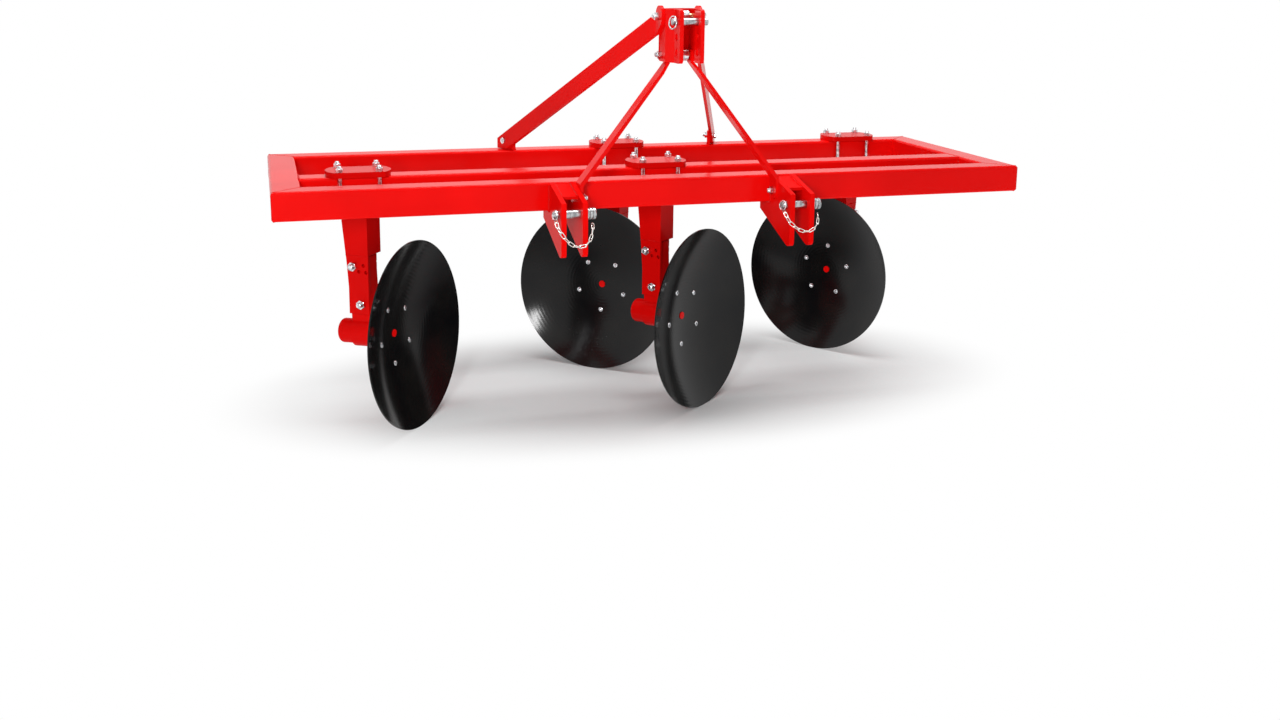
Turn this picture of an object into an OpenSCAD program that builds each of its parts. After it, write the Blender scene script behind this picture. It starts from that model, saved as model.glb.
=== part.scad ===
// Disc ridger: three-point mounted frame with four free rolling dished discs.
// Travel is towards -Y, the ground is at Z = 0, and the frame's centre is at X = 0.

/* [Frame] */
// Outside length of the frame, across the travel
frame_len = 2776; // [2200:2:3200]
// Outside depth of the frame, along the travel
frame_depth = 930; // [800:1:1100]
// Outside size of the square tube
tube = 100; // [80:1:120]
// Radius of the tube's long edges
tube_r = 10; // [4:1:16]
// Front face of the middle beam behind the front beam's front face
mid_front = 268; // [240:1:320]

/* [Lower hitch] */
// Distance between the two lower hitch points
hitch_span = 825; // [700:1:950]
// Clear gap between the two plates of a bracket
hitch_gap = 56; // [50:1:70]
// Thickness of a bracket plate
hitch_t = 18; // [12:1:22]
// Reach of the bracket ahead of the front beam
hitch_reach = 185; // [140:1:200]
// Depth of the bracket's tip below the frame's top face
hitch_drop = 231; // [200:1:260]
// Radius of the lower hitch pin
hitch_pin_r = 14; // [11:0.5:18]

/* [Mast] */
// Height of the mast head's lower edge above the frame's top face
head_bottom = 415; // [360:1:460]
// Height of the mast head's upper edge above the frame's top face
head_top = 597; // [540:1:640]
// Clear gap between the ears
ear_gap = 60; // [52:1:70]
// Thickness of an ear
ear_t = 14; // [10:1:18]
// Radius of the top link pin
top_pin_r = 12.5; // [9:0.5:16]
// Thickness of the brace bars
brace_t = 12; // [8:1:16]
// Width of a front brace
front_brace_w = 60; // [40:1:80]
// Width of a rear brace
rear_brace_w = 63; // [60:1:100]
// Distance of a rear brace's foot bolt from the centre
lug_x = 444; // [380:1:480]

/* [Legs] */
// Distance of an outer leg from the frame's end
outer_in = 305; // [250:1:400]
// Offset of the two inner legs from the centre
inner_x = 24; // [0:1:40]
// Angle of an outer disc's axis from square to the travel
outer_angle = 34.5; // [25:0.5:45]
// Angle of an inner disc's axis from square to the travel
inner_angle = 49; // [35:1:55]
// Tilt of a disc's axis above the level
disc_tilt = 2.2; // [0:0.1:6]
// Radius of the round clamp plates
clamp_r = 115; // [100:1:125]
// Thickness of the clamp plates
clamp_t = 20; // [14:1:26]
// Bolt spacing along the beam
clamp_bolt_x = 138; // [124:1:146]
// Radius of the clamp bolts
clamp_bolt_r = 8; // [6:0.5:10]
// Height of the frame's top face above a disc's centre
leg_drop = 567; // [540:1:600]
// Depth of the tilt pivot bolt below the frame's top face
pivot_drop = 462; // [440:1:480]

/* [Discs] */
// Radius of a disc
disc_r = 340; // [300:1:360]
// Depth of a disc's dish
disc_dish = 93; // [70:1:110]
// Thickness of a disc
disc_t = 5; // [4:0.5:10]
// Radius of the circle of the five disc bolts
disc_bolt_circle = 108; // [80:1:120]
// Distance of the rim's plane from the leg's middle
disc_out = 215; // [190:1:230]
// Radius of the bearing housing
housing_r = 54; // [42:1:58]

/* [Hidden] */
$fn = 96;
red = [0.86, 0.04, 0.04];
zinc = [0.72, 0.73, 0.75];
black = [0.05, 0.05, 0.055];
z_top = disc_r*cos(disc_tilt) + leg_drop;
z_bot = z_top - tube;
half_len = frame_len/2;
outer_x = half_len - outer_in;
pivot_z = z_top - pivot_drop;
mid_c = mid_front + tube/2;
rear_c = frame_depth - tube/2;
sphere_r = (disc_r*disc_r + disc_dish*disc_dish)/(2*disc_dish);
// Rearmost and foremost points, for the middle of the overall size
rim_out = disc_r*sqrt(1 - pow(sin(outer_angle)*cos(disc_tilt), 2));
y_rear = rear_c - disc_out*sin(outer_angle) + rim_out;
y_shift = (hitch_reach - y_rear)/2;
clamp_half = tube/2 + 24;
clamp_bolt_y = tube + 24;
bolt_z_low = z_bot - clamp_t;
pin_y = -hitch_reach + 38;
pin_z = z_top - 86;
ear_front = -hitch_reach + 27;
ear_x = ear_gap/2 + ear_t;
flare = 19;
ear_back = 6;
back_plate_t = 6;
head_bolt_y = -15;
cap_round = 12;
head_bolt_z1 = z_top + head_bottom + 23;
head_bolt_z2 = z_top + head_top - 27;
top_pin_y = ear_front + 35;
hole_step = 52;
top_pin_z = z_top + head_top - 42;
lug_t = 14;
lug_hole_y = rear_c - 6;
lug_hole_z = z_top + 36;
brace_x = ear_x + flare;
bend_y = head_bolt_y + 36;
brace_angle = atan2(lug_x - brace_x, lug_hole_y - bend_y);
front_bolt_y = -45;
front_bolt_z = z_top - 50;
bracket_half = hitch_gap/2 + hitch_t;
// Legs: place along X, place along Y, side of the open face, angle, turn of the disc bolts
LX = 0;
LY = 1;
LS = 2;
LA = 3;
LB = 4;
legs = [
  [-outer_x, mid_c, 1, outer_angle, 44],
  [inner_x, rear_c, -1, inner_angle, 54],
  [inner_x, mid_c, 1, inner_angle, 43],
  [outer_x, rear_c, -1, outer_angle, 21],
];
pivot_a = 25;
lock_a = pivot_a - 30;
lock_z = pivot_z + 138;
axis_z = pivot_z + (disc_r*cos(disc_tilt) - pivot_z - (disc_out - pivot_a)*sin(disc_tilt))/cos(disc_tilt);
dish_a = disc_out - disc_dish;
fork_gap = 62;
fork_t = 12;
fork_y = fork_gap/2 + fork_t;
box_y = fork_y + 7;
box_z = pivot_z + 177;
leg_edge = 53;
foot_z = pivot_z - 38;
arm_w = fork_gap - 3;
bore_r = 30.05;

module rounded(w, h, r) {
  translate([r, 0]) square([w - 2*r, h]);
  translate([0, r]) square([w, h - 2*r]);
  for (x = [r, w - r], y = [r, h - r])
    translate([x, y]) circle(r);
}

module place() {
  translate([0, y_shift, 0]) children();
}

// A tube along X from x0 to x1 with its front face at y0
module tube_x(x0, x1, y0) {
  translate([x0, y0, z_bot]) rotate([90, 0, 90]) linear_extrude(x1 - x0) rounded(tube, tube, tube_r);
}

// A tube along Y from y0 to y1 with its left face at x0
module tube_y(x0, y0, y1) {
  translate([x0, y1, z_bot]) rotate([90, 0, 0]) linear_extrude(y1 - y0) rounded(tube, tube, tube_r);
}

module front_beam() {
  color(red) place() intersection() {
    tube_x(-half_len, half_len, 0);
    translate([0, 0, z_bot - 1]) linear_extrude(tube + 2)
      polygon([[-half_len, 0], [half_len, 0], [half_len - tube, tube], [-half_len + tube, tube]]);
  }
}

module rear_beam() {
  color(red) place() intersection() {
    tube_x(-half_len, half_len, frame_depth - tube);
    translate([0, frame_depth, z_bot - 1]) linear_extrude(tube + 2)
      polygon([[-half_len, 0], [half_len, 0], [half_len - tube, -tube], [-half_len + tube, -tube]]);
  }
}

module middle_beam() {
  color(red) place() tube_x(-half_len + tube, half_len - tube, mid_front);
}

module end_beam() {
  color(red) place() intersection() {
    tube_y(-half_len, 0, frame_depth);
    translate([-half_len, 0, z_bot - 1]) linear_extrude(tube + 2)
      polygon([[0, 0], [tube, tube], [tube, frame_depth - tube], [0, frame_depth]]);
  }
}

module left_beam() { end_beam(); }
module right_beam() { mirror([1, 0, 0]) end_beam(); }

// One bracket: two plates around the front beam's face and underside, and a sloped web
module bracket_side() {
  tip_r = 20;
  difference() {
    union() {
      polygon([[0, 0], [-hitch_reach, -43], [-hitch_reach, -hitch_drop + tip_r],
        [-hitch_reach + 14, -hitch_drop + 2], [-hitch_reach + 32, -hitch_drop + 2],
        [tube, -tube - 40], [tube, -tube], [0, -tube]]);
      translate([-hitch_reach + tip_r, -hitch_drop + tip_r]) circle(tip_r);
    }
    translate([pin_y, pin_z - z_top]) circle(hitch_pin_r + 0.3);
  }
}

module bracket(s) {
  color(red) place() translate([s*hitch_span/2, 0, 0]) {
    difference() {
      union() {
        for (x = [-bracket_half, hitch_gap/2])
          translate([x, 0, z_top]) rotate([90, 0, 90]) linear_extrude(hitch_t) bracket_side();
        translate([-hitch_gap/2, 0, z_top]) rotate([90, 0, 90]) linear_extrude(hitch_gap)
          polygon([[0, -6], [-hitch_reach + 73, -32], [-hitch_reach + 73, -42], [0, -16]]);
      }
      translate([-s*bracket_half - 30, front_bolt_y, front_bolt_z])
        rotate([0, 90, 0]) cylinder(r = 8.3, h = 60);
    }
  }
}

module left_hitch_bracket() { bracket(-1); }
module right_hitch_bracket() { bracket(1); }

// The lower hitch pin: its collar is on the right and the clip's hole on the left
module hitch_pin(s) {
  color(zinc) place() translate([s*hitch_span/2, pin_y, pin_z]) rotate([0, 90, 0]) difference() {
    union() {
      translate([0, 0, -bracket_half - 18]) cylinder(r = hitch_pin_r, h = 2*bracket_half + 20);
      translate([0, 0, bracket_half + 1]) cylinder(r = hitch_pin_r + 6, h = 34);
    }
    translate([0, 0, -bracket_half - 9]) rotate([0, 90, 0]) cylinder(r = 3, h = 60, center = true);
  }
}

module left_hitch_pin() { hitch_pin(-1); }
module right_hitch_pin() { hitch_pin(1); }

// The mast head: two ears that spread towards the back, and a plate between them
module ear() {
  linear_extrude(head_top - head_bottom)
    polygon([[ear_gap/2, ear_front], [ear_x, ear_front], [ear_x, ear_front + 59],
      [ear_x + flare, ear_front + 103], [ear_x + flare, ear_back], [ear_gap/2 + flare, ear_back],
      [ear_gap/2 + flare, ear_front + 106], [ear_gap/2, ear_front + 62]]);
}

module mast_head() {
  color(red) place() difference() {
    union() {
      intersection() {
        translate([0, 0, z_top + head_bottom]) union() {
          ear();
          mirror([1, 0, 0]) ear();
        }
        translate([-200, ear_front, z_top + head_bottom]) rotate([90, 0, 90]) linear_extrude(400)
          rounded(ear_back - ear_front + 40, head_top - head_bottom, 16);
      }
      translate([-ear_x - flare, ear_back, z_top + head_bottom])
        cube([2*ear_x + 2*flare, back_plate_t, head_top - head_bottom]);
    }
    for (k = [0, 1, 2])
      translate([-200, top_pin_y, top_pin_z - k*hole_step]) rotate([0, 90, 0])
        cylinder(r = top_pin_r + 0.3, h = 400);
    for (z = [head_bolt_z1, head_bolt_z2])
      translate([-200, head_bolt_y, z]) rotate([0, 90, 0]) cylinder(r = 8.3, h = 400);
  }
}

module top_link_pin() {
  color(zinc) place() translate([-ear_x - 18, top_pin_y, top_pin_z]) rotate([0, 90, 0]) difference() {
    cylinder(r = top_pin_r, h = 2*ear_x + 40);
    for (z = [8, 2*ear_x + 30])
      translate([0, 0, z]) rotate([0, 90, 0]) cylinder(r = 3, h = 60, center = true);
  }
}

// A through bolt of the mast: nut on the left, head on the right, a tube and two bushes between
module mast_bolt(z, outside, inside) {
  translate([0, head_bolt_y, z]) rotate([0, 90, 0]) {
    translate([0, 0, -outside - 24]) cylinder(r = 8, h = 2*outside + 34);
    translate([0, 0, -outside - 16]) cylinder(r = 14, h = 16, $fn = 6);
    translate([0, 0, outside]) cylinder(r = 14, h = 10, $fn = 6);
    translate([0, 0, -32]) cylinder(r = 20, h = 64);
    translate([0, 0, -inside]) cylinder(r = 10, h = 2*inside);
  }
}

module mast_bolts() {
  color(zinc) place() {
    mast_bolt(head_bolt_z1, brace_x, ear_gap/2 + flare - brace_t);
    mast_bolt(head_bolt_z2, brace_x + brace_t, ear_gap/2 + flare);
  }
}

// Front brace: a flat bar bent twice, seen along Y, then trimmed round at both ends
module front_brace(s) {
  x0 = hitch_span/2 - bracket_half;
  x1 = ear_gap/2 + flare - brace_t;
  zl = front_bolt_z;
  zu = head_bolt_z1;
  zb = z_top + 2;
  zc = z_top + head_bottom - 1;
  hw = front_brace_w/2;
  top_r = ear_back - head_bolt_y - 3.5;
  neck_y = head_bolt_y - top_r - 3;
  back_y = ear_back - 3.5;
  color(red) place() scale([s, 1, 1]) difference() {
    intersection() {
      translate([0, ear_back + hw, 0]) rotate([90, 0, 0]) linear_extrude(3*front_brace_w)
        polygon([[x0, zl - hw], [x0, zb], [x1 + brace_t, zc], [x1 + brace_t, zu + hw],
          [x1, zu + hw], [x1, zc - 2], [x0 - brace_t, zb - 8], [x0 - brace_t, zl - hw]]);
      translate([-10, 0, 0]) rotate([90, 0, 90]) linear_extrude(hitch_span) union() {
        polygon([[front_bolt_y - hw, zl], [front_bolt_y + hw, zl], [back_y, z_top + head_bottom - 8],
          [head_bolt_y + top_r, zu], [head_bolt_y - top_r, zu], [neck_y, z_top + head_bottom - 2],
          [back_y - 2*hw, z_top + head_bottom - 42]]);
        translate([front_bolt_y, zl]) circle(hw);
        translate([head_bolt_y, zu]) circle(top_r);
      }
    }
    translate([x0 - 40, front_bolt_y, zl]) rotate([0, 90, 0]) cylinder(r = 8.3, h = 80);
    translate([x1 - 40, head_bolt_y, zu]) rotate([0, 90, 0]) cylinder(r = 8.3, h = 80);
  }
}

module left_front_brace() { mirror([1, 0, 0]) front_brace(1); }
module right_front_brace() { front_brace(1); }

// Puts a piece at a rear brace's foot bolt, with its Y along the brace and X out of its inner face
module at_foot() {
  translate([lug_x, lug_hole_y, lug_hole_z]) rotate([0, 0, -brace_angle]) children();
}

// Rear brace: a flat bar on edge, bent once beside the mast head
module rear_brace() {
  ca = cos(brace_angle);
  sa = sin(brace_angle);
  ta = tan(brace_angle/2);
  t = brace_t;
  far = 100;
  zu = head_bolt_z2;
  hw = rear_brace_w/2;
  end_r = hw + 5;
  run = lug_hole_y - head_bolt_y;
  ang = atan2(zu - lug_hole_z, run);
  len = sqrt(pow(zu - lug_hole_z, 2) + pow(run, 2));
  color(red) place() difference() {
    intersection() {
      translate([0, 0, z_top]) linear_extrude(head_top + 100)
        polygon([[lug_x + far*sa, lug_hole_y + far*ca], [lug_x + far*sa + t*ca, lug_hole_y + far*ca - t*sa],
          [brace_x + t, bend_y - t*ta], [brace_x + t, head_bolt_y - far], [brace_x, head_bolt_y - far],
          [brace_x, bend_y]]);
      translate([0, lug_hole_y, lug_hole_z]) rotate([90, 0, 90]) linear_extrude(lug_x*2) difference() {
        rotate([0, 0, -ang]) union() {
          translate([-len, hw - 2*end_r + 4]) square([len + far, 2*hw]);
          translate([-len, 0]) circle(end_r);
        }
        translate([40, -200]) square([200, 400]);
        polygon([[-8, 60], [-8, hw/cos(ang)], [40, 6], [60, 60]]);
        translate([-200, -300 - 34]) square([400, 300]);
      }
    }
    at_foot() translate([-40, 0, 0]) rotate([0, 90, 0]) cylinder(r = 8.3, h = 80);
    translate([brace_x - 40, head_bolt_y, zu]) rotate([0, 90, 0]) cylinder(r = 8.3, h = 80);
  }
}

module left_rear_brace() { mirror([1, 0, 0]) rear_brace(); }
module right_rear_brace() { rear_brace(); }

module brace_lugs() {
  color(red) place() for (s = [0, 1]) mirror([s, 0, 0])
    at_foot() difference() {
      translate([-lug_t, -44, z_top - lug_hole_z]) cube([lug_t, 76, lug_hole_z - z_top + 22]);
      translate([-lug_t - 5, 0, 0]) rotate([0, 90, 0]) cylinder(r = 8.3, h = 40);
    }
}

module cross_bolt(len) {
  rotate([0, 90, 0]) {
    cylinder(r = 8, h = len + 21);
    translate([0, 0, -10]) cylinder(r = 14, h = 10, $fn = 6);
    translate([0, 0, len]) cylinder(r = 14, h = 13, $fn = 6);
  }
}

module brace_bolts() {
  color(zinc) place() for (s = [0, 1]) mirror([s, 0, 0]) {
    at_foot() translate([brace_t, 0, 0]) mirror([1, 0, 0]) cross_bolt(lug_t + brace_t);
    translate([hitch_span/2 - hitch_gap/2, front_bolt_y, front_bolt_z]) mirror([1, 0, 0])
      cross_bolt(hitch_t + brace_t);
  }
}

// Puts a piece at a leg, in the beam's directions
module at_clamp(i) {
  place() translate([legs[i][LX], legs[i][LY], 0]) children();
}

// Puts a piece at a leg with its +X along the disc's axis
module at_leg(i) {
  at_clamp(i) mirror([legs[i][LS] < 0 ? 1 : 0, 0, 0]) rotate([0, 0, -legs[i][LA]]) children();
}

// The same, tilted about the pivot bolt, with Z = 0 at the bearing's height
module at_axis(i) {
  at_leg(i) translate([pivot_a, 0, pivot_z]) rotate([0, -disc_tilt, 0])
    translate([-pivot_a, 0, axis_z - pivot_z]) children();
}

module clamp_shape() {
  difference() {
    intersection() {
      cylinder(r = clamp_r, h = clamp_t);
      translate([-clamp_r, -clamp_half, 0]) cube([2*clamp_r, 2*clamp_half, clamp_t]);
    }
    for (x = [-1, 1], y = [-1, 1])
      translate([x*clamp_bolt_x/2, y*clamp_bolt_y/2, -1]) cylinder(r = clamp_bolt_r + 0.5, h = clamp_t + 2);
  }
}

module clamp_plate(i) {
  color(red) at_clamp(i) translate([0, 0, z_top]) clamp_shape();
}

module leg_bolts(i) {
  color(zinc) {
    at_clamp(i) for (x = [-1, 1], y = [-1, 1])
      translate([x*clamp_bolt_x/2, y*clamp_bolt_y/2, 0]) {
        translate([0, 0, bolt_z_low - 10]) cylinder(r = clamp_bolt_r, h = tube + 2*clamp_t + 32);
        translate([0, 0, bolt_z_low - 10]) cylinder(r = clamp_bolt_r*1.73, h = 10, $fn = 6);
        translate([0, 0, z_top + clamp_t]) cylinder(r = clamp_bolt_r*1.73, h = 13, $fn = 6);
      }
    at_leg(i) for (p = [[pivot_a, pivot_z], [lock_a, lock_z]])
      translate([p[0], 0, p[1]]) rotate([90, 0, 0]) {
        translate([0, 0, -fork_y - 11]) cylinder(r = 10, h = 2*fork_y + 11 + 28);
        translate([0, 0, -fork_y - 11]) cylinder(r = 17, h = 11, $fn = 6);
        translate([0, 0, fork_y]) cylinder(r = 17, h = 16, $fn = 6);
      }
  }
}

// The leg: flange, box and a fork of two plates that the arm hangs in
module leg(i) {
  top_t = -53;
  waist_t = -36;
  foot_t = -27;
  back_edge = leg_edge - 13;
  color(red) {
    at_clamp(i) translate([0, 0, bolt_z_low]) clamp_shape();
    at_leg(i) difference() {
      union() {
        translate([0, box_y, 0]) rotate([90, 0, 0]) linear_extrude(box_y + fork_y)
          polygon([[top_t, bolt_z_low + 1], [leg_edge, bolt_z_low + 1], [leg_edge, box_z], [waist_t, box_z]]);
        for (p = [[-fork_gap/2, leg_edge], [fork_y, back_edge]])
          translate([0, p[0], 0]) rotate([90, 0, 0]) linear_extrude(fork_t)
            polygon([[waist_t, box_z + 1], [p[1], box_z + 1], [p[1], foot_z], [foot_t, foot_z],
              [foot_t, pivot_z + 60], [waist_t + 3, box_z - 30]]);
      }
      for (p = [[pivot_a, pivot_z], [lock_a, lock_z]])
        translate([p[0], 100, p[1]]) rotate([90, 0, 0]) cylinder(r = 10.3, h = 200);
      for (p = [[9, 142], [-10, 119], [19, 117]])
        translate([pivot_a + p[0], 100, pivot_z + p[1]]) rotate([90, 0, 0]) cylinder(r = 6.5, h = 200);
    }
  }
}

// The arm: a bar between the fork's plates and the bearing housing at its foot
module arm(i) {
  arm_top = box_z - axis_z - 6;
  color(red) difference() {
    at_axis(i) {
      translate([0, arm_w/2, 0]) rotate([90, 0, 0]) linear_extrude(arm_w)
        polygon([[-34, arm_top], [leg_edge - 1, arm_top], [leg_edge - 1, 20], [-28, 20], [-28, 160]]);
      translate([-25, 0, 0]) rotate([0, 90, 0]) cylinder(r = housing_r, h = 100);
      rotate([0, 90, 0]) rotate_extrude() {
        translate([0, -87]) square([housing_r - 9 - cap_round, 20]);
        translate([housing_r - 9 - cap_round, cap_round - 87]) circle(cap_round);
        translate([0, cap_round - 87]) square([housing_r - 9, 64 - cap_round]);
      }
    }
    at_axis(i) translate([-5, 0, 0]) rotate([0, 90, 0]) cylinder(r = bore_r, h = 120);
    at_leg(i) for (p = [[pivot_a, pivot_z], [lock_a, lock_z]])
      translate([p[0], 50, p[1]]) rotate([90, 0, 0]) cylinder(r = 10.3, h = 100);
  }
}

// The hub: spindle in the bearing, flange behind the disc and the end that shows in the dish
module hub(i) {
  color(red) at_axis(i) difference() {
    rotate([0, 90, 0]) rotate_extrude() {
      difference() {
        polygon([[0, 0], [bore_r - 0.05, 0], [bore_r - 0.05, 80], [45, 80], [70, 91], [128, 91], [128, 126], [0, 126]]);
        translate([0, dish_a + sphere_r]) circle(sphere_r + disc_t + 0.2, $fn = 720);
      }
      translate([0, 80]) square([14, dish_a - 80 + 3]);
    }
    for (k = [0:4])
      rotate([legs[i][LB] + 72*k, 0, 0]) translate([60, disc_bolt_circle, 0]) rotate([0, 90, 0])
        cylinder(r = 6.3, h = 90);
  }
}

module disc(i) {
  color(black) at_axis(i) difference() {
    intersection() {
      translate([dish_a + sphere_r, 0, 0]) difference() {
        sphere(sphere_r + disc_t);
        sphere(sphere_r);
      }
      translate([dish_a - disc_t - 2, 0, 0]) rotate([0, 90, 0]) cylinder(r = disc_r, h = disc_dish + 8);
    }
    rotate([0, 90, 0]) cylinder(r = 14.3, h = 300);
    for (k = [0:4])
      rotate([legs[i][LB] + 72*k, 0, 0]) translate([60, disc_bolt_circle, 0]) rotate([0, 90, 0])
        cylinder(r = 6.3, h = 120);
  }
}

module disc_bolts(i) {
  sag = sphere_r - sqrt(sphere_r*sphere_r - disc_bolt_circle*disc_bolt_circle);
  color(zinc) at_axis(i) for (k = [0:4])
    rotate([legs[i][LB] + 72*k, 0, 0]) translate([0, disc_bolt_circle, 0]) rotate([0, 90, 0]) {
      translate([0, 0, 79]) cylinder(r = 6, h = dish_a + sag - 79 + 2);
      translate([0, 0, 79]) cylinder(r = 11, h = 11.8, $fn = 6);
      translate([0, 0, dish_a + sag + 1.8]) cylinder(r = 10, h = 3);
    }
}

module clamp_plate_1() { clamp_plate(0); }
module clamp_plate_2() { clamp_plate(1); }
module clamp_plate_3() { clamp_plate(2); }
module clamp_plate_4() { clamp_plate(3); }
module leg_bolts_1() { leg_bolts(0); }
module leg_bolts_2() { leg_bolts(1); }
module leg_bolts_3() { leg_bolts(2); }
module leg_bolts_4() { leg_bolts(3); }
module leg_1() { leg(0); }
module leg_2() { leg(1); }
module leg_3() { leg(2); }
module leg_4() { leg(3); }
module arm_1() { arm(0); }
module arm_2() { arm(1); }
module arm_3() { arm(2); }
module arm_4() { arm(3); }
module hub_1() { hub(0); }
module hub_2() { hub(1); }
module hub_3() { hub(2); }
module hub_4() { hub(3); }
module disc_1() { disc(0); }
module disc_2() { disc(1); }
module disc_3() { disc(2); }
module disc_4() { disc(3); }
module disc_bolts_1() { disc_bolts(0); }
module disc_bolts_2() { disc_bolts(1); }
module disc_bolts_3() { disc_bolts(2); }
module disc_bolts_4() { disc_bolts(3); }

front_beam();
middle_beam();
rear_beam();
left_beam();
right_beam();
left_hitch_bracket();
right_hitch_bracket();
left_hitch_pin();
right_hitch_pin();
mast_head();
top_link_pin();
mast_bolts();
left_front_brace();
right_front_brace();
left_rear_brace();
right_rear_brace();
brace_lugs();
brace_bolts();
clamp_plate_1();
clamp_plate_2();
clamp_plate_3();
clamp_plate_4();
leg_bolts_1();
leg_bolts_2();
leg_bolts_3();
leg_bolts_4();
leg_1();
leg_2();
leg_3();
leg_4();
arm_1();
arm_2();
arm_3();
arm_4();
hub_1();
hub_2();
hub_3();
hub_4();
disc_1();
disc_2();
disc_3();
disc_4();
disc_bolts_1();
disc_bolts_2();
disc_bolts_3();
disc_bolts_4();
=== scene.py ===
import math
import bpy
from mathutils import Matrix, Vector


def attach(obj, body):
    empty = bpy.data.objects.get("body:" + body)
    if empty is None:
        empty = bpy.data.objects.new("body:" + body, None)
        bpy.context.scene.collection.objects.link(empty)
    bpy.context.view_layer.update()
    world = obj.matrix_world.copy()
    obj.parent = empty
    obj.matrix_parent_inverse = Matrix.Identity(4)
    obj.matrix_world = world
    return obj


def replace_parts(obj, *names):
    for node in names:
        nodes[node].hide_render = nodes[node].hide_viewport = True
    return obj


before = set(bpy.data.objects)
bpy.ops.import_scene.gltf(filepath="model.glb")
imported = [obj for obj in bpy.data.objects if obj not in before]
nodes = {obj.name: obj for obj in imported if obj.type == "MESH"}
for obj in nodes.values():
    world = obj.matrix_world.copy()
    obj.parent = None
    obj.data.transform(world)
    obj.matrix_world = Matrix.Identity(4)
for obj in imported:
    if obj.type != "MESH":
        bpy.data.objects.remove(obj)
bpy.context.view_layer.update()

# Viewpoint. The picture was taken from the front left, a little above the frame,
# and cut so that the machine stands in the upper half.
turn, dip, lean = math.radians(16.367), math.radians(10.948), math.radians(0.576)
lens_place = (-1.4066, -4.7164, 1.6263)
camera_data = bpy.data.cameras.new("viewpoint")
camera_data.sensor_fit = "HORIZONTAL"
camera_data.sensor_width = 36.0
camera_data.lens = 36.093
camera_data.shift_x = 0.0036
camera_data.shift_y = -0.1094
camera_data.clip_end = 80.0
viewpoint = bpy.data.objects.new("viewpoint", camera_data)
bpy.context.scene.collection.objects.link(viewpoint)
viewpoint.matrix_world = (Matrix.Translation(lens_place) @ Matrix.Rotation(-turn, 4, "Z")
                          @ Matrix.Rotation(math.pi/2 - dip, 4, "X") @ Matrix.Rotation(lean, 4, "Z"))
bpy.context.scene.camera = viewpoint
bpy.context.scene.view_settings.view_transform = "Standard"

# Studio. A floor sheet painted grey in an ellipse under the machine, a painted shadow pool that
# the lamps' real shadows fall into, tinted cyan to cancel in paint the red light bounced from the
# frame, and fading outward into glowing white like the white room; a large soft box overhead and
# a tall narrow one in front of the left end.
pool_wide, pool_deep, pool_shift, pool_core = 1.7, 0.9, 0.1, 0.42
bpy.ops.object.select_all(action="DESELECT")
bpy.ops.mesh.primitive_plane_add(size=50, location=(0, 0, 0))
floor = bpy.context.object
floor.name = "floor"
floor_painted_shade_pool = bpy.data.materials.new("floor_painted_shade_pool")
floor_painted_shade_pool.use_nodes = True
tree = floor_painted_shade_pool.node_tree
sheet_shader = tree.nodes["Principled BSDF"]
# The grey base colour under the machine is painted shade; the fade turns it into white glow with distance
# from the pool's centre.
sheet_shader.inputs["Base Color"].default_value = (0.70, 0.755, 0.758, 1)
sheet_shader.inputs["Roughness"].default_value = 0.6
sheet_shader.inputs["Specular IOR Level"].default_value = 0.1
glow = tree.nodes.new("ShaderNodeEmission")
glow.inputs["Color"].default_value = (1, 1, 1, 1)
glow.inputs["Strength"].default_value = 1.0
where = tree.nodes.new("ShaderNodeTexCoord")
sheet_size = tree.nodes.new("ShaderNodeMapping")
sheet_size.inputs["Location"].default_value = (0.0, -pool_shift, 0.0)
sheet_size.inputs["Scale"].default_value = (1/pool_wide, 1/pool_deep, 1.0)
reach = tree.nodes.new("ShaderNodeVectorMath")
reach.operation = "LENGTH"
fade = tree.nodes.new("ShaderNodeMapRange")
fade.interpolation_type = "SMOOTHSTEP"
fade.inputs["From Min"].default_value = pool_core
fade.inputs["From Max"].default_value = 1.0
blend = tree.nodes.new("ShaderNodeMixShader")
tree.links.new(where.outputs["Object"], sheet_size.inputs["Vector"])
tree.links.new(sheet_size.outputs["Vector"], reach.inputs[0])
tree.links.new(reach.outputs["Value"], fade.inputs["Value"])
tree.links.new(fade.outputs["Result"], blend.inputs["Fac"])
tree.links.new(sheet_shader.outputs["BSDF"], blend.inputs[1])
tree.links.new(glow.outputs["Emission"], blend.inputs[2])
tree.links.new(blend.outputs["Shader"], tree.nodes["Material Output"].inputs["Surface"])
floor.data.materials.append(floor_painted_shade_pool)

room = bpy.context.scene.world or bpy.data.worlds.new("room")
bpy.context.scene.world = room
room.use_nodes = True
tree = room.node_tree
tree.nodes.clear()
ray = tree.nodes.new("ShaderNodeLightPath")
seen = tree.nodes.new("ShaderNodeMath")
seen.operation = "MAXIMUM"
seen_through = tree.nodes.new("ShaderNodeMath")
seen_through.operation = "MAXIMUM"
room_light = tree.nodes.new("ShaderNodeBackground")
room_light.inputs["Color"].default_value = (1, 1, 1, 1)
room_light.inputs["Strength"].default_value = 0.25
room_white = tree.nodes.new("ShaderNodeBackground")
room_white.inputs["Color"].default_value = (1, 1, 1, 1)
room_white.inputs["Strength"].default_value = 1.0
choice = tree.nodes.new("ShaderNodeMixShader")
room_out = tree.nodes.new("ShaderNodeOutputWorld")
tree.links.new(ray.outputs["Is Camera Ray"], seen.inputs[0])
tree.links.new(ray.outputs["Is Glossy Ray"], seen.inputs[1])
tree.links.new(seen.outputs["Value"], seen_through.inputs[0])
tree.links.new(ray.outputs["Is Transmission Ray"], seen_through.inputs[1])
tree.links.new(seen_through.outputs["Value"], choice.inputs["Fac"])
tree.links.new(room_light.outputs["Background"], choice.inputs[1])
tree.links.new(room_white.outputs["Background"], choice.inputs[2])
tree.links.new(choice.outputs["Shader"], room_out.inputs["Surface"])


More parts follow.
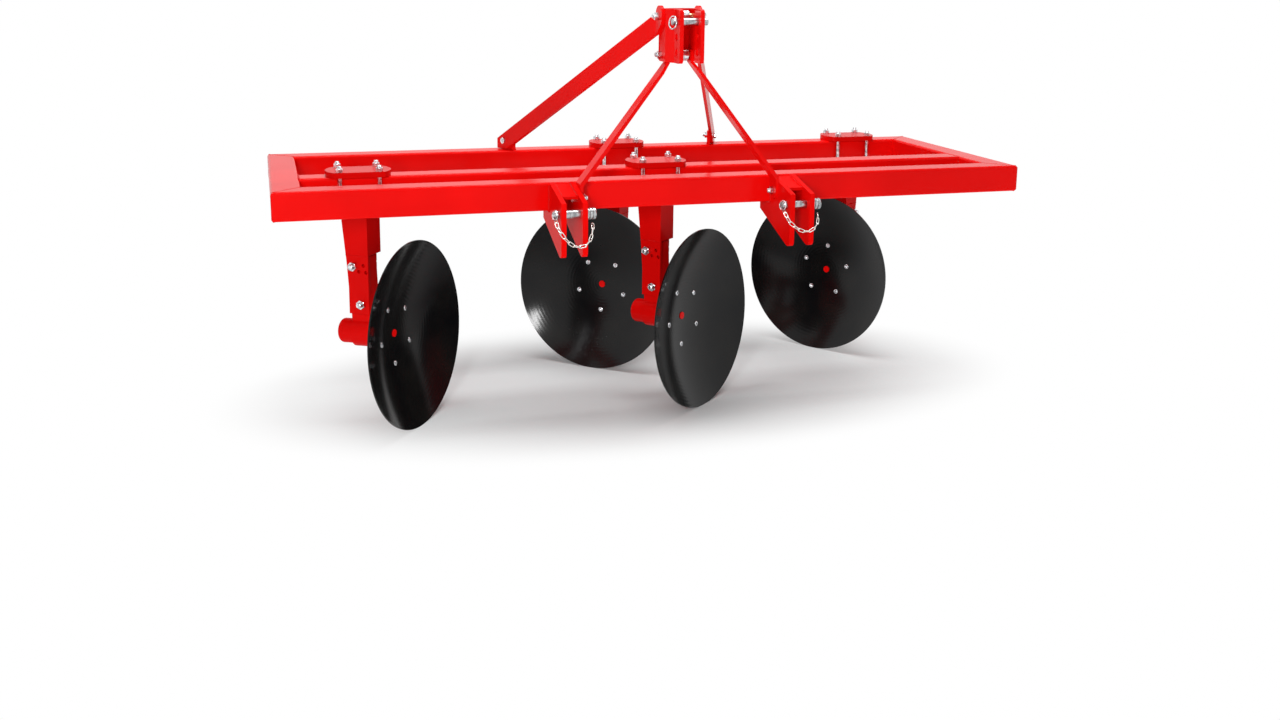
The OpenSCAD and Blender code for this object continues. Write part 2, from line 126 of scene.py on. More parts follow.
def hang_soft_box(name, place, aim, wide, high, power):
    lamp = bpy.data.lights.new(name, "AREA")
    lamp.shape = "RECTANGLE"
    lamp.size = wide
    lamp.size_y = high
    lamp.energy = power
    box = bpy.data.objects.new(name, lamp)
    bpy.context.scene.collection.objects.link(box)
    box.location = place
    box.rotation_euler = (Vector(aim) - Vector(place)).to_track_quat("-Z", "Y").to_euler()


hang_soft_box("overhead_box", (0.0, 0.1, 4.2), (0.0, 0.1, 0.0), 3.0, 1.6, 118)
hang_soft_box("front_box", (-2.0, -4.2, 1.85), (-0.3, 0.3, 0.4), 0.45, 1.1, 90)


# Square tube frame. Five lengths of 100 mm square steel tube, mitred and welded at
# the corners, then powder coated in gloss red.
def gloss_red(name, deep=(0.76, 0.0026, 0.0020), bright=(0.86, 0.0034, 0.0028), peel=260.0, gloss=0.06):
    coat = bpy.data.materials.new(name)
    coat.use_nodes = True
    tree = coat.node_tree
    shader = tree.nodes["Principled BSDF"]
    where = tree.nodes.new("ShaderNodeTexCoord")
    cloud = tree.nodes.new("ShaderNodeTexNoise")
    cloud.inputs["Scale"].default_value = 2.5
    cloud.inputs["Detail"].default_value = 4.0
    tone = tree.nodes.new("ShaderNodeValToRGB")
    tone.color_ramp.elements[0].position = 0.35
    tone.color_ramp.elements[0].color = (*deep, 1)
    tone.color_ramp.elements[1].position = 0.6
    tone.color_ramp.elements[1].color = (*bright, 1)
    flow = tree.nodes.new("ShaderNodeTexNoise")
    flow.inputs["Scale"].default_value = 22.0
    flow.inputs["Detail"].default_value = 3.0
    sheen = tree.nodes.new("ShaderNodeMapRange")
    sheen.inputs["To Min"].default_value = 0.17
    sheen.inputs["To Max"].default_value = 0.25
    skin = tree.nodes.new("ShaderNodeTexNoise")
    skin.inputs["Scale"].default_value = peel
    skin.inputs["Detail"].default_value = 1.5
    edge = tree.nodes.new("ShaderNodeBevel")
    edge.samples = 4
    edge.inputs["Radius"].default_value = 0.0018
    bump = tree.nodes.new("ShaderNodeBump")
    bump.inputs["Strength"].default_value = 0.12
    bump.inputs["Distance"].default_value = 0.0006
    for texture in (cloud, flow, skin):
        tree.links.new(where.outputs["Object"], texture.inputs["Vector"])
    tree.links.new(cloud.outputs["Fac"], tone.inputs["Fac"])
    tree.links.new(tone.outputs["Color"], shader.inputs["Base Color"])
    tree.links.new(flow.outputs["Fac"], sheen.inputs["Value"])
    tree.links.new(sheen.outputs["Result"], shader.inputs["Roughness"])
    tree.links.new(skin.outputs["Fac"], bump.inputs["Height"])
    tree.links.new(edge.outputs["Normal"], bump.inputs["Normal"])
    tree.links.new(bump.outputs["Normal"], shader.inputs["Normal"])
    shader.inputs["Specular IOR Level"].default_value = gloss/2
    shader.inputs["Coat Weight"].default_value = gloss
    shader.inputs["Coat Roughness"].default_value = 0.08
    return coat


def finish_node(name, finish):
    mesh = nodes[name].data
    if mesh.materials:
        for place in range(len(mesh.materials)):
            mesh.materials[place] = finish
    else:
        mesh.materials.append(finish)


red_coat = gloss_red("red_powder_coat")
for name in ("front_beam", "middle_beam", "rear_beam", "left_beam", "right_beam"):
    finish_node(name, red_coat)

# Weld seams of the frame. Each seam is a run of small overlapping ripples: a flat,
# dressed one over each mitre and a full fillet where the middle beam meets the ends.
def lay_bead(start, end, width, step=0.0032):
    start, run = Vector(start), Vector(end) - Vector(start)
    ripples = max(2, round(run.length/step))
    bpy.ops.object.select_all(action="DESELECT")
    bpy.ops.mesh.primitive_ico_sphere_add(subdivisions=1, radius=width/2, location=start,
                                          rotation=(0.4, 0.7, 0.3))
    bead = bpy.context.object
    bpy.ops.object.transform_apply(location=False, rotation=True, scale=False)
    row = bead.modifiers.new("row", "ARRAY")
    row.use_relative_offset = False
    row.use_constant_offset = True
    row.constant_offset_displace = run/ripples
    row.count = ripples + 1
    bpy.ops.object.modifier_apply(modifier="row")
    return bead


def make_one(parts, name, finish, body="frame", smooth=32):
    bpy.ops.object.select_all(action="DESELECT")
    for part in parts:
        part.select_set(True)
    piece = parts[0]
    bpy.context.view_layer.objects.active = piece
    if len(parts) > 1:
        bpy.ops.object.join()
    bpy.ops.object.transform_apply(location=True, rotation=True, scale=True)
    bpy.ops.object.mode_set(mode="EDIT")
    bpy.ops.mesh.select_all(action="SELECT")
    bpy.ops.mesh.normals_make_consistent(inside=False)
    bpy.ops.object.mode_set(mode="OBJECT")
    bpy.ops.object.shade_smooth_by_angle(angle=math.radians(smooth))
    piece.name = name
    piece.data.name = name
    piece.data.materials.clear()
    piece.data.materials.append(finish)
    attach(piece, body)
    return piece


half_long, front_y, top_z, tube = 1.388, -0.42676, 0.90675, 0.1
rear_y, low_z = front_y + 0.93, top_z - tube
middle_front, middle_back = front_y + 0.268, front_y + 0.368
dressed_bead, fillet_bead = 0.0046, 0.008
seams = []
for side in (-1, 1):
    for outer_y, inner_y in ((front_y, front_y + tube), (rear_y, rear_y - tube)):
        out = Vector((side*(half_long - 0.006), outer_y + (inner_y - outer_y)*0.06, 0))
        inn = Vector((side*(half_long - tube + 0.004), inner_y + (outer_y - inner_y)*0.04, 0))
        for level in (top_z - 0.0012, low_z + 0.0012):
            seams.append(lay_bead(out + Vector((0, 0, level)), inn + Vector((0, 0, level)), dressed_bead))
        corner = Vector((side*(half_long - 0.0012), outer_y + (0.0012 if outer_y < 0 else -0.0012), 0))
        foot, head = Vector((0, 0, low_z + 0.009)), Vector((0, 0, top_z - 0.009))
        seams.append(lay_bead(corner + foot, corner + head, dressed_bead))
    end_x = side*(half_long - tube - 0.0012)
    for beam_y in (middle_front, middle_back):
        seams.append(lay_bead((end_x, beam_y, low_z + 0.008), (end_x, beam_y, top_z - 0.008), fillet_bead))
    for level in (low_z + 0.003, top_z - 0.003):
        seams.append(lay_bead((end_x, front_y + 0.274, level), (end_x, front_y + 0.362, level), fillet_bead))
weld_coat = gloss_red("red_weld_coat", deep=(0.66, 0.0028, 0.0022), bright=(0.74, 0.0035, 0.0030))
make_one(seams, "frame_welds", weld_coat, smooth=60)

# Lower hitch brackets. Two laser cut plates each with a sloped web between them,
# welded to the front beam and painted with the frame.
hitch_x, plate_inner, plate_outer = 0.4125, 0.028, 0.046
plate_coat = gloss_red("red_plate_coat", peel=220.0, gloss=0.014)
for name in ("left_hitch_bracket", "right_hitch_bracket"):
    finish_node(name, plate_coat)
seams = []
for side in (-1, 1):
    middle = side*hitch_x
    for cheek in (-1, 1):
        for face in (plate_inner, plate_outer):
            x = middle + cheek*face
            shift = cheek*(0.0015 if face == plate_outer else -0.0015)
            toe = x + shift
            upright = ((toe, front_y - 0.001, low_z + 0.004), (toe, front_y - 0.001, top_z - 0.012))
            level = ((toe, front_y + 0.004, low_z - 0.001), (toe, front_y + 0.096, low_z - 0.001))
            seams.extend(lay_bead(start, end, 0.009) for start, end in (upright, level))
        x = middle + cheek*0.027
        seams.append(lay_bead((x, front_y - 0.002, top_z - 0.0065), (x, front_y - 0.108, top_z - 0.031),
                              fillet_bead))
make_one(seams, "bracket_welds", weld_coat, smooth=60)


# Hitch pins. Turned from 28 mm bar with a grooved collar on the right and a chamfered
# nose on the left, bright zinc plated.
def bright_zinc(name, tint=(0.84, 0.85, 0.87), dull_and_dark_reflection=(0.46, 0.47, 0.49)):
    plating = bpy.data.materials.new(name)
    plating.use_nodes = True
    tree = plating.node_tree
    shader = tree.nodes["Principled BSDF"]
    where = tree.nodes.new("ShaderNodeTexCoord")
    # The noise sets the zinc's tone: partly its own spangle, partly painted dark and bright reflection spots.
    spangle_and_reflection = tree.nodes.new("ShaderNodeTexNoise")
    spangle_and_reflection.inputs["Scale"].default_value = 90.0
    spangle_and_reflection.inputs["Detail"].default_value = 4.0
    tone = tree.nodes.new("ShaderNodeValToRGB")
    tone.color_ramp.elements[0].position = 0.4
    tone.color_ramp.elements[0].color = (*dull_and_dark_reflection, 1)
    tone.color_ramp.elements[1].position = 0.56
    tone.color_ramp.elements[1].color = (*tint, 1)
    rub = tree.nodes.new("ShaderNodeMapRange")
    rub.inputs["To Min"].default_value = 0.14
    rub.inputs["To Max"].default_value = 0.30
    edge = tree.nodes.new("ShaderNodeBevel")
    edge.samples = 4
    edge.inputs["Radius"].default_value = 0.0008
    bump = tree.nodes.new("ShaderNodeBump")
    bump.inputs["Strength"].default_value = 0.15
    bump.inputs["Distance"].default_value = 0.0003
    tree.links.new(where.outputs["Object"], spangle_and_reflection.inputs["Vector"])
    tree.links.new(spangle_and_reflection.outputs["Fac"], tone.inputs["Fac"])
    tree.links.new(tone.outputs["Color"], shader.inputs["Base Color"])
    tree.links.new(spangle_and_reflection.outputs["Fac"], rub.inputs["Value"])
    tree.links.new(rub.outputs["Result"], shader.inputs["Roughness"])
    tree.links.new(spangle_and_reflection.outputs["Fac"], bump.inputs["Height"])
    tree.links.new(edge.outputs["Normal"], bump.inputs["Normal"])
    tree.links.new(bump.outputs["Normal"], shader.inputs["Normal"])
    shader.inputs["Metallic"].default_value = 1.0
    return plating


zinc = bright_zinc("bright_zinc")
# A darker copy of the plating for the pins: painted dark reflections, where the white room gives only bright
# ones.
pin_zinc = bright_zinc("pin_zinc_painted_dark", tint=(0.50, 0.51, 0.52), dull_and_dark_reflection=(0.30, 0.31, 0.32))


def turn_rod(profile, place, along=(0, 0, 1), sides=36):
    bpy.ops.object.select_all(action="DESELECT")
    at, radius = profile[0]
    bpy.ops.mesh.primitive_circle_add(vertices=sides, radius=radius, fill_type="NGON", location=(0, 0, at))
    rod = bpy.context.object
    bpy.ops.object.transform_apply(location=True, rotation=True, scale=True)
    bpy.ops.object.mode_set(mode="EDIT")
    bpy.ops.mesh.select_all(action="SELECT")
    for next_at, next_radius in profile[1:]:
        bpy.ops.mesh.extrude_region_move(TRANSFORM_OT_translate={"value": (0, 0, next_at - at)})
        grow = next_radius/radius
        bpy.ops.transform.resize(value=(grow, grow, 1), center_override=(0, 0, next_at))
        at, radius = next_at, next_radius
    bpy.ops.object.mode_set(mode="OBJECT")
    rod.matrix_world = Matrix.Translation(place) @ Vector(along).to_track_quat("Z", "Y").to_matrix().to_4x4()
    bpy.ops.object.transform_apply(location=True, rotation=True, scale=True)
    return rod


pin_y, pin_z = front_y - 0.147, top_z - 0.086
pin_r, collar_r, groove_r = 0.014, 0.02, 0.0168
for side, hand in ((-1, "left"), (1, "right")):
    shaft = [(-0.064, 0.0105), (-0.0615, pin_r), (-0.0475, pin_r), (-0.0472, 0.0136), (-0.0468, pin_r),
             (0.0468, pin_r)]
    collar = [(0.047, 0.0188), (0.0485, collar_r), (0.0550, collar_r), (0.0562, groove_r), (0.0582, groove_r),
              (0.0594, collar_r), (0.0660, collar_r), (0.0672, groove_r), (0.0692, groove_r),
              (0.0704, collar_r), (0.0790, collar_r), (0.0810, 0.0178)]
    pin = turn_rod(shaft + collar, (side*hitch_x, pin_y, pin_z), (1, 0, 0))
    make_one([pin], f"{hand}_hitch_pin_turned", pin_zinc, smooth=28)
    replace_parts(pin, f"{hand}_hitch_pin")

# Lynch pins. A bent spring ring snaps over the hitch pin's nose and holds the short
# cross pin in its hole.
def lynch_pin(place, ring_radius, wire, cross_long, lean, swing, drop):
    shares = ((-0.55, 0.0012), (-0.5, 0.003), (0.42, 0.003), (0.43, 0.0062),
              (0.5, 0.0075), (0.62, 0.0072), (0.68, 0.004), (0.69, 0.0006))
    cross = turn_rod([(cross_long*share, radius) for share, radius in shares], place, (0, -0.94, 0.34), 20)
    bpy.ops.object.select_all(action="DESELECT")
    bpy.ops.mesh.primitive_torus_add(major_radius=ring_radius, minor_radius=wire,
                                     major_segments=40, minor_segments=10)
    ring = bpy.context.object
    hook = Vector(place) + Vector((-0.004, 0, -drop))
    ring.matrix_world = (Matrix.Translation(hook) @ Matrix.Rotation(math.radians(swing), 4, "Z")
                         @ Matrix.Rotation(math.radians(90 + lean), 4, "Y"))
    bpy.ops.object.transform_apply(location=True, rotation=True, scale=True)
    return [cross, ring]


for side, hand in ((-1, "left"), (1, "right")):
    parts = lynch_pin((side*hitch_x - 0.055, pin_y, pin_z), 0.0158, 0.0020, 0.036, 10, 22, 0.001)
    make_one(parts, f"{hand}_hitch_lynch_pin", zinc)


# Safety chains. Welded links of 3.2 mm wire from the lynch pin to the collar; each
# hangs over the front edges of its bracket's two plates.
def hang_chain(route, pitch, name):
    bpy.ops.object.select_all(action="DESELECT")
    bpy.ops.mesh.primitive_torus_add(major_radius=0.0054, minor_radius=0.0016,
                                     major_segments=16, minor_segments=8)
    link = bpy.context.object
    bpy.ops.object.mode_set(mode="EDIT")
    bpy.ops.mesh.select_all(action="DESELECT")
    bpy.ops.object.mode_set(mode="OBJECT")
    for corner in link.data.vertices:
        corner.select = corner.co.x > 1e-5
    bpy.ops.object.mode_set(mode="EDIT")
    bpy.ops.transform.translate(value=(0.0150, 0, 0))
    bpy.ops.mesh.select_all(action="SELECT")
    bpy.ops.transform.translate(value=(-0.0075, 0, 0))
    bpy.ops.object.mode_set(mode="OBJECT")
    route = [Vector(p) for p in route]
    smooth, cuts = [], 12
    for k in range(len(route) - 1):
        before, a, b, after = route[max(k - 1, 0)], route[k], route[k + 1], route[min(k + 2, len(route) - 1)]
        for cut in range(cuts):
            t = cut/cuts
            smooth.append(0.5*((2*a) + (b - before)*t + (2*before - 5*a + 4*b - after)*t*t
                               + (3*a - before - 3*b + after)*t**3))
    smooth.append(route[-1])
    knots, last = [smooth[0]], smooth[0]
    for point in smooth[1:]:
        if (point - last).length >= pitch:
            knots.append(point)
            last = point
    links = []
    for k, (a, b) in enumerate(zip(knots, knots[1:])):
        bpy.ops.object.select_all(action="DESELECT")
        link.select_set(True)
        bpy.context.view_layer.objects.active = link
        bpy.ops.object.duplicate(linked=False)
        copy = bpy.context.object
        way = (b - a).normalized()
        flat = Vector((0, -1, 0)) - way*way.dot(Vector((0, -1, 0)))
        flat.normalize()
        across = flat.cross(way)
        heading = Matrix((way, across, flat)).transposed().to_4x4()
        roll = math.radians(18 if k % 2 else 62)
        copy.matrix_world = Matrix.Translation((a + b)/2) @ heading @ Matrix.Rotation(roll, 4, "X")
        bpy.ops.object.transform_apply(location=True, rotation=True, scale=True)
        links.append(copy)
    bpy.data.objects.remove(link)
    return make_one(links, name, chain_zinc, smooth=70)


chain_zinc = bright_zinc("chain_zinc", tint=(0.94, 0.93, 0.90), dull_and_dark_reflection=(0.70, 0.68, 0.62))
link_pitch = 0.0205
for side, hand in ((-1, "left"), (1, "right")):
    low = 0.0 if side > 0 else 0.014
    points = ((-0.055, 0.150, 0.104), (-0.061, 0.176, 0.112), (-0.057, 0.189, 0.126), (-0.046, 0.191, 0.144),
              (-0.028, 0.191, 0.158 + low*0.7), (-0.006, 0.191, 0.172 + low), (0.018, 0.191, 0.177 + low),
              (0.040, 0.191, 0.171 + low), (0.055, 0.190, 0.154 + low*0.7), (0.063, 0.180, 0.136),
              (0.068, 0.163, 0.120), (0.068, 0.149, 0.106))
    route = [(side*hitch_x + across, front_y - ahead, top_z - down) for across, ahead, down in points]
    hang_chain(route, link_pitch, f"{hand}_safety_chain")

# Mast head. Two 14 mm ears that spread towards the back, welded to a back plate; two
# through bolts hold bright spacer tubes between the ears. Short tan sleeves from each tube end to the ear are
# a painted reflection of the tube in the glossy ear faces.
mast_coat = gloss_red("red_mast_coat", peel=220.0)
finish_node("mast_head", mast_coat)
head_low, head_high, plate_y = top_z + 0.415, top_z + 0.597, front_y + 0.006
seams = []
for side in (-1, 1):
    for x, y, width in ((0.0475, plate_y - 0.002, 0.009), (0.0625, plate_y + 0.006, 0.007)):
        seams.append(lay_bead((side*x, y, head_low + 0.006), (side*x, y, head_high - 0.006), width))
make_one(seams, "mast_head_welds", weld_coat, smooth=60)


def forge_hex(radius, height, start, spin=0.0):
    bpy.ops.object.select_all(action="DESELECT")
    bpy.ops.mesh.primitive_cylinder_add(vertices=6, radius=radius, depth=height,
                                        location=(0, 0, start + height/2), rotation=(0, 0, spin))
    hexagon = bpy.context.object
    bpy.ops.object.transform_apply(location=True, rotation=True, scale=True)
    slope = radius*0.09
    ends = (start - 0.0001, start + slope, start + height - slope, start + height + 0.0001)
    narrow, wide = radius*0.86, radius*1.01
    dome = turn_rod(list(zip(ends, (narrow, wide, wide, narrow))), (0, 0, 0), (0, 0, 1), 40)
    bpy.ops.object.select_all(action="DESELECT")
    hexagon.select_set(True)
    bpy.context.view_layer.objects.active = hexagon
    chamfer = hexagon.modifiers.new("chamfer", "BOOLEAN")
    chamfer.operation = "INTERSECT"
    chamfer.solver = "EXACT"
    chamfer.object = dome
    bpy.ops.object.modifier_apply(modifier="chamfer")
    bpy.data.objects.remove(dome)
    return hexagon


def thread(start, end, radius, pitch=0.002):
    rings, at = [], start
    while at < end - pitch*1.2:
        rings += [(at, radius), (at + pitch*0.5, radius*0.89)]
        at += pitch
    return rings + [(at, radius), (end - 0.0012, radius*0.95), (end, radius*0.8)]


def bolt_up(pieces):
    bpy.ops.object.select_all(action="DESELECT")
    for piece in pieces:
        piece.select_set(True)
    bpy.context.view_layer.objects.active = pieces[0]
    bpy.ops.object.join()
    return pieces[0]


def fit_copy(master, place, along, spin=0.0):
    bpy.ops.object.select_all(action="DESELECT")
    master.select_set(True)
    bpy.context.view_layer.objects.active = master
    bpy.ops.object.duplicate(linked=False)
    copy = bpy.context.object
    aim = Vector(along).to_track_quat("Z", "Y").to_matrix().to_4x4()
    copy.matrix_world = Matrix.Translation(place) @ aim @ Matrix.Rotation(spin, 4, "Z")
    bpy.ops.object.transform_apply(location=True, rotation=True, scale=True)
    return copy


mast_bolt_y, m16, m16_hex = front_y - 0.015, 0.008, 0.014
bolts, tubes, reflection_sleeves = [], [], []
for level, outside, ear_face in ((top_z + 0.438, 0.063, 0.037), (top_z + 0.570, 0.075, 0.049)):
    middle = (0, mast_bolt_y, level)
    shank = turn_rod([(-outside - 0.0098, m16), (outside + 0.0160, m16)]
                     + thread(outside + 0.0165, outside + 0.0240, m16), (0, 0, 0), (0, 0, 1), 24)
    whole = bolt_up([shank, forge_hex(m16_hex, 0.010, -outside - 0.010, 0.1),
                     forge_hex(m16_hex, 0.0155, outside, 0.3)])
    bolts.append(fit_copy(whole, middle, (-1, 0, 0)))
    bpy.data.objects.remove(whole)
    sleeve = [(-0.032, 0.0188), (-0.0308, 0.020), (0.0308, 0.020), (0.032, 0.0188)]
    tubes.append(turn_rod(sleeve, middle, (1, 0, 0), 48))
    # Tan sleeves from the tube ends to the ears: a painted reflection of the tube in the ear faces.
    for side in (-1, 1):
        reflection_sleeve = [(0.0315, 0.0094), (0.0322, 0.010), (ear_face + 0.0005, 0.010)]
        reflection_sleeves.append(turn_rod(reflection_sleeve, middle, (side, 0, 0), 32))
# Tan colour of the sleeves that paint the tube's reflection.
reflection_tan = bright_zinc("reflection_tan", tint=(0.62, 0.50, 0.28), dull_and_dark_reflection=(0.44, 0.33, 0.15))
for parts, name, finish in ((bolts, "mast_through_bolts", zinc), (tubes, "mast_spacer_tubes", zinc),
                            (reflection_sleeves, "mast_painted_reflections", reflection_tan)):
    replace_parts(make_one(parts, name, finish, smooth=28), "mast_bolts")

# Top link pin. Turned from 25 mm bar, bright zinc plated, held by a lynch pin on the
# left and a short split pin on the right.
top_pin_y, top_pin_z, top_pin_r = front_y - 0.123, top_z + 0.555, 0.0125
clip_x, split_x = -0.054, 0.056
profile = [(-0.062, 0.0096), (-0.0595, top_pin_r), (0.0635, top_pin_r), (0.066, 0.0100)]
pin = turn_rod(profile, (0, top_pin_y, top_pin_z), (1, 0, 0))
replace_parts(make_one([pin], "top_link_pin_turned", pin_zinc, smooth=28), "top_link_pin")
parts = lynch_pin((clip_x, top_pin_y, top_pin_z), 0.0215, 0.0025, 0.036, 6, 17, 0.003)
make_one(parts, "top_link_lynch_pin", zinc)
profile = [(-0.020, 0.0014), (-0.0195, 0.0026), (0.0195, 0.0026), (0.020, 0.0014)]
split = turn_rod(profile, (split_x, top_pin_y, top_pin_z), (0, 0, 1), 16)
bpy.ops.object.select_all(action="DESELECT")
bpy.ops.mesh.primitive_torus_add(major_radius=0.005, minor_radius=0.0021, major_segments=20, minor_segments=8,
                                 location=(split_x, top_pin_y, top_pin_z + 0.0235),
                                 rotation=(math.pi/2, 0, 0.5))
make_one([split, bpy.context.object], "top_link_split_pin", zinc)

# Braces. Four flat bars: the front pair bent twice up to the head, the rear pair on
# edge down to two lugs welded on the rear beam; M16 bolts at their feet.
for name in ("left_front_brace", "right_front_brace", "left_rear_brace", "right_rear_brace", "brace_lugs"):
    finish_node(name, mast_coat)
shank = turn_rod([(-0.0098, m16), (0.0260, m16), (0.0380, m16)] + thread(0.0382, 0.0470, m16),
                 (0, 0, 0), (0, 0, 1), 24)
lug_bolt = bolt_up([shank, forge_hex(m16_hex, 0.010, -0.010, 0.2), forge_hex(m16_hex, 0.013, 0.026, 0.5)])
shank = turn_rod([(-0.0098, m16), (0.0300, m16), (0.0430, m16)] + thread(0.0432, 0.0510, m16),
                 (0, 0, 0), (0, 0, 1), 24)
foot_bolt = bolt_up([shank, forge_hex(m16_hex, 0.010, -0.010, 0.4), forge_hex(m16_hex, 0.013, 0.030, 0.15)])
lug_x, lug_back, brace_top_x, brace_bend = 0.444, 0.874, 0.063, 0.021
rear_turn = math.atan2(lug_x - brace_top_x, lug_back - brace_bend)
bolts, seams = [], []
for side in (-1, 1):
    hole = Vector((side*lug_x, front_y + lug_back, top_z + 0.036))
    out = Vector((side*math.cos(rear_turn), -math.sin(rear_turn), 0))
    back = Vector((side*math.sin(rear_turn), math.cos(rear_turn), 0))
    bolts.append(fit_copy(lug_bolt, hole + out*0.012, -out))
    foot_place = (side*(hitch_x - plate_inner), front_y - 0.045, top_z - 0.050)
    bolts.append(fit_copy(foot_bolt, foot_place, (-side, 0, 0)))
    for face in (-0.0005, -0.0135):
        foot = hole + out*face
        foot.z = top_z + 0.0015
        seams.append(lay_bead(foot - back*0.043, foot + back*0.031, fillet_bead))
bpy.data.objects.remove(lug_bolt)
bpy.data.objects.remove(foot_bolt)
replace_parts(make_one(bolts, "brace_bolt_sets", zinc, smooth=28), "brace_bolts")
make_one(seams, "lug_welds", weld_coat, smooth=60)

# Legs with their clamps and arms. Welded from plate and thick tube and painted red;
# four long bolts clamp each leg's flange under the beam, two more hold the arm.
leg_coat = gloss_red("red_leg_coat", deep=(0.64, 0.0028, 0.0022), bright=(0.72, 0.0035, 0.0030),
                     peel=190.0, gloss=0.03)
flange_z, pivot_z = low_z - 0.020, top_z - 0.462
clamp_x, clamp_y, clamp_hex, m20, m20_hex = 0.069, 0.062, 0.01384, 0.010, 0.017
pivot_x, lock_x, lock_up, fork_out = 0.025, -0.005, 0.138, 0.043
leg_places = [(-1.083, front_y + 0.318, 1, 34.5), (0.024, front_y + 0.880, -1, 49.0),
              (0.024, front_y + 0.318, 1, 49.0), (1.083, front_y + 0.880, -1, 34.5)]
stands = [Matrix.Translation((x, y, 0)) @ Matrix.Diagonal((hand, 1, 1, 1))
          @ Matrix.Rotation(math.radians(-angle), 4, "Z")
          for x, y, hand, angle in leg_places]
shank = turn_rod([(-0.0098, m16), (0.140, m16), (0.1531, m16)] + thread(0.1533, 0.162, m16),
                 (0, 0, 0), (0, 0, 1), 24)
clamp_bolt = bolt_up([shank, forge_hex(clamp_hex, 0.010, -0.010), forge_hex(clamp_hex, 0.013, 0.140, 0.4)])
rounded_end = [(0.1118, 0.0096), (0.1128, 0.0086), (0.1136, 0.0066), (0.1140, 0.0030)]
shank = turn_rod([(-0.0108, m20), (0.1018, m20)] + thread(0.1022, 0.1135, m20)[:-2] + rounded_end,
                 (0, 0, 0), (0, 0, 1), 28)
tilt_bolt = bolt_up([shank, forge_hex(m20_hex, 0.011, -0.011), forge_hex(m20_hex, 0.016, 0.086, 0.5)])
for number, stand in enumerate(stands, 1):
    for part in ("clamp_plate", "leg", "arm"):
        finish_node(f"{part}_{number}", leg_coat)
    leg_x, leg_y = leg_places[number - 1][:2]
    bolts = [fit_copy(clamp_bolt, (leg_x + sx*clamp_x, leg_y + sy*clamp_y, flange_z), (0, 0, 1),
                      number*0.5 + sx + 2.1*sy)
             for sx in (-1, 1) for sy in (-1, 1)]
    way = (stand.to_3x3() @ Vector((0, -1, 0))).normalized()
    for at_x, at_z in ((pivot_x, pivot_z), (lock_x, pivot_z + lock_up)):
        bolts.append(fit_copy(tilt_bolt, stand @ Vector((at_x, fork_out, at_z)), way, 0.3 + number + at_z))
    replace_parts(make_one(bolts, f"leg_bolt_sets_{number}", zinc, smooth=28), f"leg_bolts_{number}")
    corners = [(-0.0535, -0.0435), (0.0535, -0.0435), (0.0535, 0.0505), (-0.0535, 0.0505), (-0.0535, -0.0435)]
    seams = [lay_bead(stand @ Vector((*a, flange_z - 0.0005)), stand @ Vector((*b, flange_z - 0.0005)), 0.009)
             for a, b in zip(corners, corners[1:])]
    step = pivot_z + 0.177
    for start, end, width in (((-0.035, -0.0425, step), (0.052, -0.0425, step), 0.005),
                              ((-0.035, 0.0435, step - 0.001), (0.039, 0.0435, step - 0.001), fillet_bead)):
        seams.append(lay_bead(stand @ Vector(start), stand @ Vector(end), width))
    make_one(seams, f"leg_welds_{number}", weld_coat, smooth=60)
bpy.data.objects.remove(clamp_bolt)
bpy.data.objects.remove(tilt_bolt)

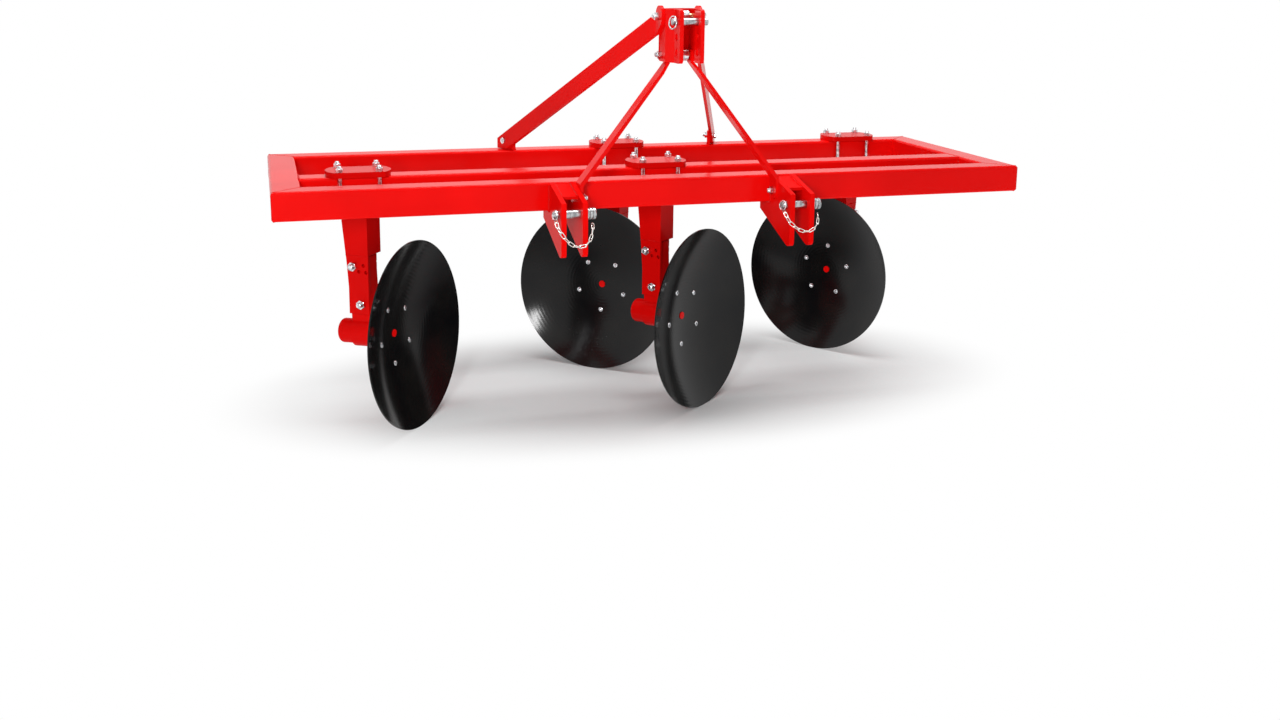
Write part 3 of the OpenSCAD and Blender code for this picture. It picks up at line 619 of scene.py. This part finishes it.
# Discs on their hubs. Pressed from one sheet of spring steel and enamelled gloss
# black; faint rings about the axle are left by the rolling of the dish.
def black_enamel(name, hub_place, axle_way):
    enamel = bpy.data.materials.new(name)
    enamel.use_nodes = True
    tree = enamel.node_tree
    shader = tree.nodes["Principled BSDF"]
    where = tree.nodes.new("ShaderNodeTexCoord")
    centre = tree.nodes.new("ShaderNodeMapping")
    aim = axle_way.to_track_quat("Z", "Y").to_matrix().to_4x4()
    inverse = (Matrix.Translation(hub_place) @ aim).inverted()
    centre.inputs["Location"].default_value = inverse.to_translation()
    centre.inputs["Rotation"].default_value = inverse.to_euler()
    rings = tree.nodes.new("ShaderNodeTexWave")
    rings.wave_type = "RINGS"
    rings.rings_direction = "Z"
    rings.inputs["Scale"].default_value = 24.0
    rings.inputs["Distortion"].default_value = 1.4
    rings.inputs["Detail"].default_value = 2.0
    dust = tree.nodes.new("ShaderNodeTexNoise")
    dust.inputs["Scale"].default_value = 7.0
    dust.inputs["Detail"].default_value = 6.0
    tone = tree.nodes.new("ShaderNodeValToRGB")
    tone.color_ramp.elements[0].position = 0.35
    tone.color_ramp.elements[0].color = (0.0035, 0.0036, 0.0042, 1)
    tone.color_ramp.elements[1].position = 0.7
    tone.color_ramp.elements[1].color = (0.0085, 0.0082, 0.0075, 1)
    sheen = tree.nodes.new("ShaderNodeMapRange")
    sheen.inputs["To Min"].default_value = 0.11
    sheen.inputs["To Max"].default_value = 0.18
    skin = tree.nodes.new("ShaderNodeTexNoise")
    skin.inputs["Scale"].default_value = 140.0
    rough = tree.nodes.new("ShaderNodeMath")
    rough.operation = "MULTIPLY_ADD"
    rough.inputs[1].default_value = 0.25
    bump = tree.nodes.new("ShaderNodeBump")
    bump.inputs["Strength"].default_value = 0.1
    bump.inputs["Distance"].default_value = 0.0005
    tree.links.new(where.outputs["Object"], centre.inputs["Vector"])
    for texture in (rings, dust, skin):
        tree.links.new(centre.outputs["Vector"], texture.inputs["Vector"])
    tree.links.new(dust.outputs["Fac"], tone.inputs["Fac"])
    tree.links.new(tone.outputs["Color"], shader.inputs["Base Color"])
    tree.links.new(dust.outputs["Fac"], sheen.inputs["Value"])
    tree.links.new(sheen.outputs["Result"], shader.inputs["Roughness"])
    tree.links.new(skin.outputs["Fac"], rough.inputs[0])
    tree.links.new(rings.outputs["Fac"], rough.inputs[2])
    tree.links.new(rough.outputs["Value"], bump.inputs["Height"])
    tree.links.new(bump.outputs["Normal"], shader.inputs["Normal"])
    shader.inputs["Specular IOR Level"].default_value = 0.22
    return enamel


axle_z, dish_floor, bolt_ring, dish_ball = 0.33237, 0.122, 0.108, 0.668
first_bolt, axle_tilt, nut_start = (44, 54, 43, 21), -2.2, 0.079
seat = dish_floor + dish_ball - math.sqrt(dish_ball**2 - bolt_ring**2) - 0.0004
stem = [(nut_start, 0.0052), (0.080, 0.006), (seat - 0.001, 0.006)]
head = [(seat - 0.0008, 0.0098), (seat + 0.0012, 0.0100), (seat + 0.0024, 0.0092), (seat + 0.0030, 0.0080)]
socket = [(seat + 0.0030, 0.0046), (seat - 0.0040, 0.0043)]
shank = turn_rod(stem + head + socket, (0, 0, 0), (0, 0, 1), 30)
disc_bolt = bolt_up([shank, forge_hex(0.011, 0.0118, nut_start)])
hub_coat = gloss_red("red_hub_coat", peel=190.0)
for number, stand in enumerate(stands, 1):
    tipped = Matrix.Rotation(math.radians(axle_tilt), 4, "Y")
    axle = (stand @ Matrix.Translation((pivot_x, 0, pivot_z)) @ tipped
            @ Matrix.Translation((-pivot_x, 0, axle_z - pivot_z)))
    way = (axle.to_3x3() @ Vector((1, 0, 0))).normalized()
    finish_node(f"hub_{number}", hub_coat)
    finish_node(f"disc_{number}", black_enamel(f"disc_enamel_{number}", axle.to_translation(), way))
    bolts = []
    for fifth in range(5):
        spin = math.radians(first_bolt[number - 1] + 72*fifth)
        seat_place = axle @ Vector((0, bolt_ring*math.cos(spin), bolt_ring*math.sin(spin)))
        bolts.append(fit_copy(disc_bolt, seat_place, way, spin))
    piece = make_one(bolts, f"disc_bolt_sets_{number}", zinc,
                     body=f"disc_{number}_rolling", smooth=28)
    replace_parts(piece, f"disc_bolts_{number}")
bpy.data.objects.remove(disc_bolt)
